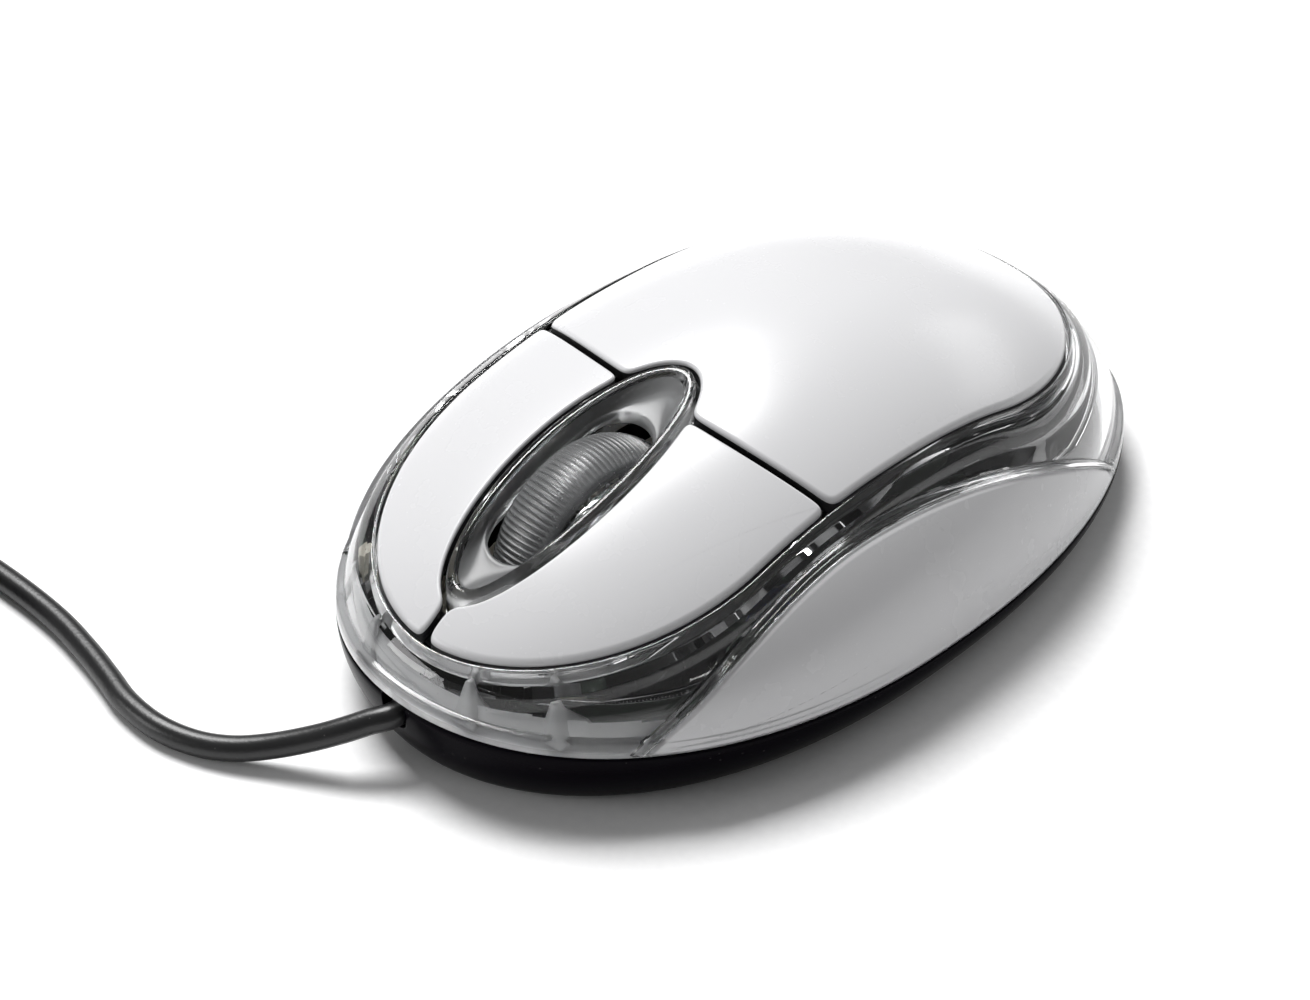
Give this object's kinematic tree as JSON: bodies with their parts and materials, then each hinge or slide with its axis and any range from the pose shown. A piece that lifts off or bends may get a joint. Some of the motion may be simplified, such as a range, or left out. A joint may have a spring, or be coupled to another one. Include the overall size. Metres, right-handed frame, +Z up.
{
  "type": "computer mouse",
  "caption": "Wired optical computer mouse: white keys and covers on a clear body and black base, clear scroll wheel, black USB cord.",
  "frame": {"origin": "on the surface the mouse stands on, under the middle of the body's length and width", "axes": "+Z up; -Y towards the nose, where the cord leaves; +X towards the mouse's own left side"},
  "size_m": [0.1243, 0.16, 0.0313],
  "materials": {
    "white_plastic": "high gloss",
    "clear_plastic": "polished clear plastic",
    "black_plastic": "satin",
    "cream_plastic": "moulded",
    "dark_component": "moulded",
    "circuit_board": "solder mask",
    "steel": "bright",
    "red_led": "clear red resin",
    "red_button": "moulded",
    "blue_sleeve": "shrink film",
    "clear_rubber": "translucent, ribbed",
    "glide": "slick",
    "cord_rubber": "satin",
    "strap": "matte"
  },
  "bodies": {
    "mouse_body": {"base_shell": "black_plastic", "clear_body": "clear_plastic", "wheel_bezel": "clear_plastic", "rear_cover": "white_plastic", "side_panel_left": "white_plastic", "side_panel_right": "white_plastic", "circuit_board": "circuit_board", "sensor_chip": "dark_component", "sensor_lens": "clear_plastic", "led": "red_led", "led_clip": "black_plastic", "controller_chip": "dark_component", "crystal": "steel", "capacitor": "blue_sleeve", "cable_connector": "cream_plastic", "lead_wires": "dark_component", "infrared_emitter": "dark_component", "infrared_detector": "dark_component", "middle_switch_body": "dark_component", "switch_body_left": "dark_component", "switch_body_right": "dark_component", "lift_spring": "steel", "case_screw": "steel", "board_screw_left": "steel", "board_screw_right": "steel", "foot_front_left": "glide", "foot_front_right": "glide", "foot_rear_left": "glide", "foot_rear_right": "glide", "strain_relief": "cord_rubber", "cord_cable": "cord_rubber", "cord_coil": "cord_rubber", "coil_tie": "strap", "cord_tail": "cord_rubber", "plug_body": "cord_rubber", "plug_shell": "steel", "plug_tongue": "cream_plastic"},
    "left_key": {"key_left": "white_plastic"},
    "right_key": {"key_right": "white_plastic"},
    "left_plunger": {"switch_plunger_left": "red_button"},
    "right_plunger": {"switch_plunger_right": "red_button"},
    "middle_plunger": {"middle_switch_plunger": "cream_plastic"},
    "cradle": {"wheel_cradle": "cream_plastic", "detent_spring": "steel"},
    "wheel": {"wheel_tyre": "clear_rubber", "wheel_hub": "clear_plastic"}
  },
  "joints": [
    {"name": "left_key_press", "type": "hinge", "parent": "mouse_body", "child": "left_key", "pos_m": [0.01, -0.0025, 0.0265], "axis": [1, 0, 0], "range_deg": [0, 1.1], "stiffness_Nm_per_rad": 1},
    {"name": "right_key_press", "type": "hinge", "parent": "mouse_body", "child": "right_key", "pos_m": [-0.01, -0.0025, 0.0265], "axis": [1, 0, 0], "range_deg": [0, 1.1], "stiffness_Nm_per_rad": 1},
    {"name": "left_switch_press", "type": "slide", "parent": "mouse_body", "child": "left_plunger", "axis": [0, 0, -1], "range_m": [0, 0.0005]},
    {"name": "right_switch_press", "type": "slide", "parent": "mouse_body", "child": "right_plunger", "axis": [0, 0, -1], "range_m": [0, 0.0005]},
    {"name": "wheel_press", "type": "hinge", "parent": "mouse_body", "child": "cradle", "pos_m": [0, -0.0075, 0.015], "axis": [1, 0, 0], "range_deg": [0, 1.2], "stiffness_Nm_per_rad": 1},
    {"name": "middle_switch_press", "type": "slide", "parent": "mouse_body", "child": "middle_plunger", "axis": [0, 0, -1], "range_m": [0, 0.0006]},
    {"name": "wheel_spin", "type": "hinge", "parent": "cradle", "child": "wheel", "pos_m": [0, -0.022, 0.0153], "axis": [1, 0, 0], "continuous": true}
  ],
  "couplings": [
    {"joint": "left_switch_press", "follows": "left_key_press", "m_per_rad": 0.025},
    {"joint": "right_switch_press", "follows": "right_key_press", "m_per_rad": 0.025},
    {"joint": "middle_switch_press", "follows": "wheel_press", "m_per_rad": 0.0272}
  ]
}
